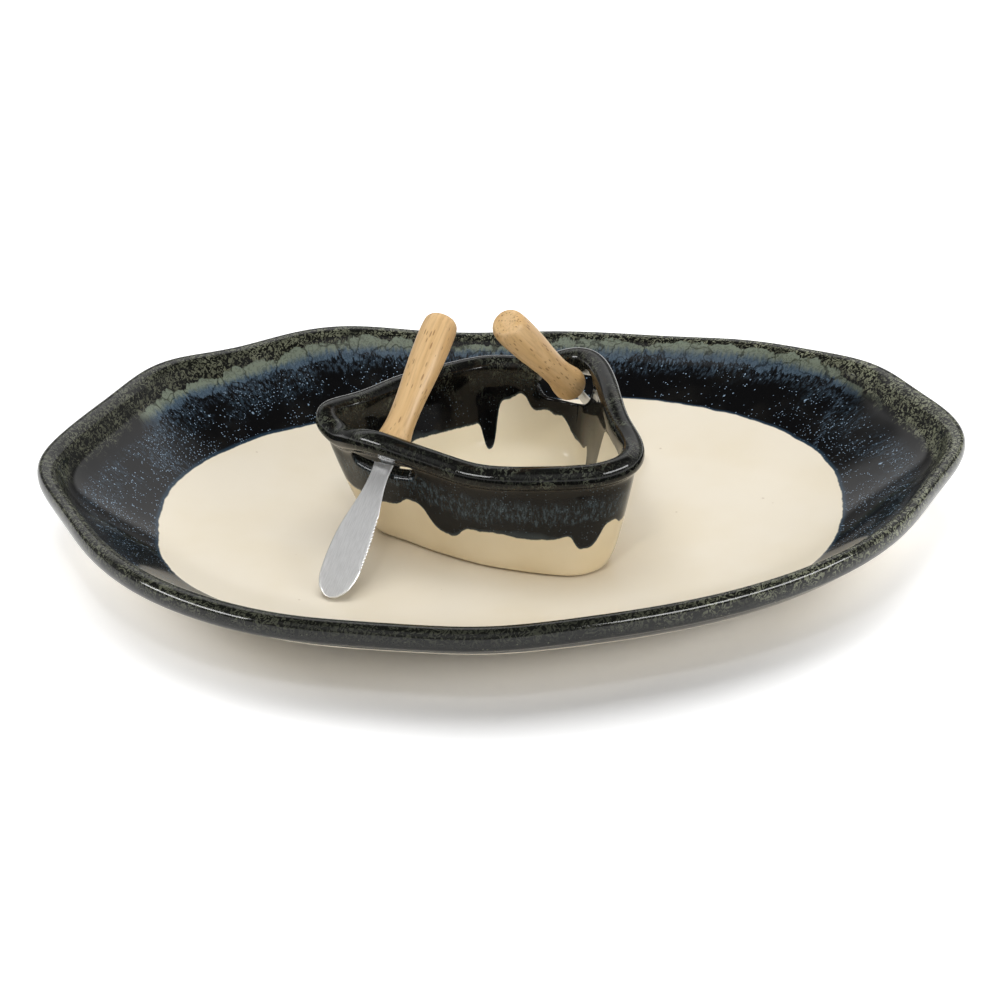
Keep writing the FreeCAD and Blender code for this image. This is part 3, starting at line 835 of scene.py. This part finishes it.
def bowl_glaze():
    g = Graph(bpy.data.materials.new("bowl_glaze"))
    place = g.attribute("place").outputs["Vector"]
    edge = g.attribute("edge").outputs["Fac"]
    down = g.node("ShaderNodeSeparateXYZ", {0: place}).outputs[2]
    depth = g.math("ABSOLUTE", down)
    streak = g.scaled(place, (1.0, 1.0, 0.4))

    ridges = maze(g, g.scaled(place, (1.0, 1.0, 0.8)), 0.5)
    patch = g.step(g.noise(place, 0.1, 3.0, 0.6), 0.4, 0.72)
    ridge_colour = g.mix(patch, (0.010, 0.011, 0.009), (0.085, 0.092, 0.068))
    roll = g.mix(ridges, (0.006, 0.006, 0.0055), ridge_colour)
    brown = g.step(g.noise(g.scaled(place, (1.0, 1.0, 2.0)), 0.14, 2.0), 0.55, 0.75)
    roll = g.mix(g.times(brown, 0.25), roll, (0.04, 0.025, 0.014))

    wall = g.mix(g.step(g.noise(place, 0.06, 2.0), 0.5, 0.75), JET, SOFT_BLACK)
    inside_ridges = g.times(g.times(ridges, patch), g.times(g.step(down, 26.0, 12.0), g.step(down, 6.0, 9.0)))
    wall = g.mix(g.times(inside_ridges, 0.8), wall, (0.05, 0.055, 0.042))
    thin = g.band(down, -16.0, -12.5, 2.0)
    wall = g.mix(g.times(thin, 0.35), wall, (0.022, 0.017, 0.011))
    cloud_line = g.times(g.math("SUBTRACT", g.noise(streak, 0.2, 3.0, 0.6), 0.5), 11.0)
    cloud_at = g.band(g.add(down, cloud_line), -27.0, -21.0, 4.0)
    grain = g.step(g.noise(streak, 0.8, 4.0, 0.75), 0.42, 0.68)
    wall = g.mix(g.times(g.times(cloud_at, grain), 0.9), wall, (0.065, 0.092, 0.108))
    crowd = g.step(g.noise(place, 0.09, 2.0), 0.35, 0.65)
    dots = specks(g, place, 0.95, g.times(crowd, 0.7), 0.3)
    wall = g.mix(g.times(dots, 0.5), wall, (0.13, 0.18, 0.21))
    on_roll = g.step(depth, 13.0, 9.0)
    dark = g.mix(on_roll, wall, roll)

    wander = g.times(g.math("SUBTRACT", g.noise(place, 0.3, 3.0, 0.6), 0.5), 1.4)
    line = g.add(edge, wander)
    cover = g.step(line, -0.2, 0.3)
    haze = g.step(g.noise(place, 0.05, 2.0), 0.5, 0.66)
    halo = g.step(line, g.add(1.4, g.times(haze, 4.0)), 0.2)
    dark = g.mix(g.times(halo, 0.75), dark, (0.05, 0.066, 0.072))

    spot = g.node("ShaderNodeTexCoord").outputs["Object"]
    tint = g.noise(spot, 30.0, 3.0, 0.5)
    cream = g.mix(g.step(tint, 0.35, 0.75), CREAM, CREAM_DEEP)
    # Painted light: inside the bowl the cream turns to its paler, lighter copy
    cream = g.mix(g.step(down, 6.0, 14.0), cream, LIT_CREAM_INSIDE)
    pores = specks(g, spot, 300.0, 0.008, 0.16)
    cream = g.mix(g.times(pores, 0.25), cream, (0.3, 0.2, 0.1))
    # Browner band over the lowest millimetre of the bowl, where it sits on the platter
    foot = g.node("ShaderNodeSeparateXYZ", {0: spot}).outputs[2]
    brown_foot_band = g.step(foot, (BOWL_BASE + 1.0) * MM, (BOWL_BASE + 0.2) * MM)
    cream = g.mix(g.times(brown_foot_band, 0.5), cream, (0.50, 0.36, 0.20))
    colour = g.mix(cover, cream, dark)

    normal = g.bump(g.noise(spot, 60.0, 2.0, 0.5), 0.25, 0.6)
    normal = g.bump(g.step(line, -0.6, 1.2), 0.22, 1.0, normal)
    normal = g.bump(g.times(g.times(ridges, on_roll), cover), 0.012, 0.4, normal)
    rough = g.blend(cover, 0.16, g.blend(on_roll, 0.08, 0.06))
    g.finish(Base_Color=colour, Roughness=rough, Normal=normal)
    return g.finish(Specular_IOR_Level=0.26)


def handle_wood():
    g = Graph(bpy.data.materials.new("handle_wood"))
    grain = g.attribute("grain").outputs["Vector"]
    fibre = g.scaled(grain, (0.05, 1.0, 1.0))
    broad = g.noise(g.scaled(grain, (0.03, 1.0, 1.0)), 0.14, 2.0, 0.5, 0.6)
    lines = g.noise(fibre, 1.1, 4.0, 0.6)
    colour = g.mix(g.step(broad, 0.35, 0.65), (0.77, 0.53, 0.275), (0.66, 0.425, 0.19))
    colour = g.mix(g.times(g.step(lines, 0.42, 0.72), 0.45), colour, (0.44, 0.26, 0.12))
    pore_place = g.scaled(grain, (0.20, 1.0, 1.0))
    pores = specks(g, pore_place, 1.0, 0.55, 0.34)
    colour = g.mix(g.times(pores, 0.7), colour, (0.27, 0.13, 0.05))
    normal = g.bump(g.math("SUBTRACT", lines, g.times(pores, 0.8)), 0.03, 0.4)
    g.finish(Base_Color=colour, Roughness=0.42, Normal=normal)
    return g.finish(Coat_Weight=0.06, Coat_Roughness=0.16, Specular_IOR_Level=0.2)


def blade_steel():
    g = Graph(bpy.data.materials.new("blade_steel"))
    grain = g.attribute("grain").outputs["Vector"]
    brush = g.noise(g.scaled(grain, (0.06, 1.0, 1.0)), 3.2, 4.0, 0.65)
    dents = g.noise(g.scaled(grain, (0.5, 1.0, 1.0)), 0.55, 2.0, 0.5)
    colour = g.mix(g.step(brush, 0.3, 0.7), (0.74, 0.74, 0.735), (0.88, 0.88, 0.88))
    normal = g.bump(dents, 0.10, 0.5)
    normal = g.bump(brush, 0.02, 0.5, normal)
    rough = g.blend(g.step(brush, 0.3, 0.7), 0.30, 0.38)
    return g.finish(Base_Color=colour, Metallic=0.5, Roughness=rough, Normal=normal)


def bedding_resin():
    g = Graph(bpy.data.materials.new("bedding_resin"))
    spot = g.node("ShaderNodeTexCoord").outputs["Object"]
    cloud = g.noise(spot, 400.0, 3.0, 0.6)
    colour = g.mix(g.step(cloud, 0.3, 0.7), (0.24, 0.17, 0.09), (0.34, 0.26, 0.15))
    return g.finish(Base_Color=colour, Roughness=0.5, Normal=g.bump(cloud, 0.05, 0.4))


def floor_paint():
    """Pale floor that glows a little away from the object, to stay white to the edge of the picture."""
    g = Graph(bpy.data.materials.new("studio_floor"))
    spot = g.scaled(g.node("ShaderNodeTexCoord").outputs["Object"], (1.0 / 0.155, 1.0 / 0.165, 0.0))
    away = g.node("ShaderNodeVectorMath", {0: spot}, operation="LENGTH").outputs["Value"]
    glow = g.times(g.step(away, 0.80, 1.22), 0.5)
    g.finish(Base_Color=(0.92, 0.92, 0.92, 1.0), Roughness=0.9, Emission_Color=(1.0, 1.0, 1.0, 1.0))
    return g.finish(Emission_Strength=glow)


def dress(piece, material):
    piece.data.materials.clear()
    piece.data.materials.append(material)


# ---------------------------------------------------------------- assembly
platter = platter_piece()
dress(platter, platter_glaze())
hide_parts("platter")
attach(platter, "platter")

bowl = bowl_piece()
dress(bowl, bowl_glaze())
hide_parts("dip_bowl")
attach(bowl, "dip_bowl")

wood = handle_wood()
steel = blade_steel()
resin = bedding_resin()
for prefix, spreader in (("front", FRONT_SPREADER), ("rear", REAR_SPREADER)):
    body = prefix + "_spreader"
    grip = handle_piece(body + "_turned_handle", spreader)
    dress(grip, wood)
    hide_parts(body + "_handle")
    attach(grip, body)
    flat = blade_piece(body + "_ground_blade", spreader)
    dress(flat, steel)
    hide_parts(body + "_blade")
    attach(flat, body)
    dress(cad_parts[body + "_tang_bedding"], resin)


# ---------------------------------------------------------------- studio
def studio_floor(size):
    mesh = bpy.data.meshes.new("studio_floor")
    half = size / 2.0
    mesh.from_pydata([(-half, -half, 0), (half, -half, 0), (half, half, 0), (-half, half, 0)],
                     [], [(0, 1, 2, 3)])
    floor = bpy.data.objects.new("studio_floor", mesh)
    bpy.context.scene.collection.objects.link(floor)
    dress(floor, floor_paint())


def soft_light(name, place, size, power, lighting=True, mirrored=True):
    """Soft box aimed at the object. It can light without showing in the glaze, or only show there."""
    data = bpy.data.lights.new(name, "AREA")
    data.shape = "RECTANGLE"
    data.size, data.size_y = size
    data.energy = power
    light = bpy.data.objects.new(name, data)
    light.location = place
    light.rotation_euler = (Vector((0, 0, 0.03)) - Vector(place)).to_track_quat("-Z", "Y").to_euler()
    light.visible_diffuse = lighting
    light.visible_glossy = mirrored
    bpy.context.scene.collection.objects.link(light)


def studio_world(overhead, horizon, backdrop, glows):
    """Dim overhead, a bright backdrop behind the object, and broad glows.

    Each glow is (direction, cosine where it starts, strength).
    """
    g = Graph(bpy.data.worlds.new("studio"))
    way = g.node("ShaderNodeTexCoord").outputs["Generated"]
    _, behind, height = g.node("ShaderNodeSeparateXYZ", {0: way}).outputs
    total = g.blend(g.step(height, 0.1, 0.6), horizon, overhead)
    lit = g.times(g.step(behind, 0.3, 0.6), g.times(g.step(height, 0.74, 0.62), g.step(height, 0.30, 0.42)))
    total = g.add(total, g.times(lit, backdrop))
    for direction, start, strength in glows:
        toward = Vector(direction).normalized()
        along = g.node("ShaderNodeVectorMath", {0: way, 1: toward}, operation="DOT_PRODUCT").outputs["Value"]
        total = g.add(total, g.times(g.step(along, start, 1.0), strength))
    bpy.context.scene.world = g.finish(Color=(1.0, 1.0, 1.0, 1.0), Strength=total)


def camera_at(target, elevation, distance, lens, shift):
    data = bpy.data.cameras.new("camera")
    data.lens = lens
    data.sensor_width = 36.0
    data.shift_y = shift
    camera = bpy.data.objects.new("camera", data)
    tilt = math.radians(elevation)
    back = Vector((0.0, -math.cos(tilt), math.sin(tilt)))
    camera.location = Vector(target) + back * distance
    camera.rotation_euler = (math.pi / 2 - tilt, 0.0, 0.0)
    bpy.context.scene.collection.objects.link(camera)
    bpy.context.scene.camera = camera


studio_floor(12.0)
studio_world(0.04, 0.25, 0.95, [
    ((-0.9, -0.1, 0.4), 0.78, 0.25),
    ((0.9, 0.0, 0.4), 0.78, 0.35),
    ((-0.1, -0.75, 0.65), 0.80, 0.7),
])
soft_light("key_box", (-0.05, 0.15, 1.3), (1.2, 0.9), 11.6, mirrored=False)
soft_light("fill_box", (1.1, -0.85, 0.75), (0.9, 0.5), 6.0, mirrored=False)
soft_light("front_box", (-0.15, -0.85, 1.25), (0.22, 0.16), 2.6, mirrored=False)
soft_light("left_box", (-1.30, -0.60, 0.50), (1.1, 0.30), 18.0, lighting=False)
soft_light("right_box", (1.20, -0.70, 0.55), (1.4, 0.32), 23.0, lighting=False)
bpy.context.scene.view_settings.view_transform = "Standard"
camera_at(target=(-0.003, 0.0145, 0.020), elevation=26.0, distance=1.25, lens=104.65, shift=-0.012)
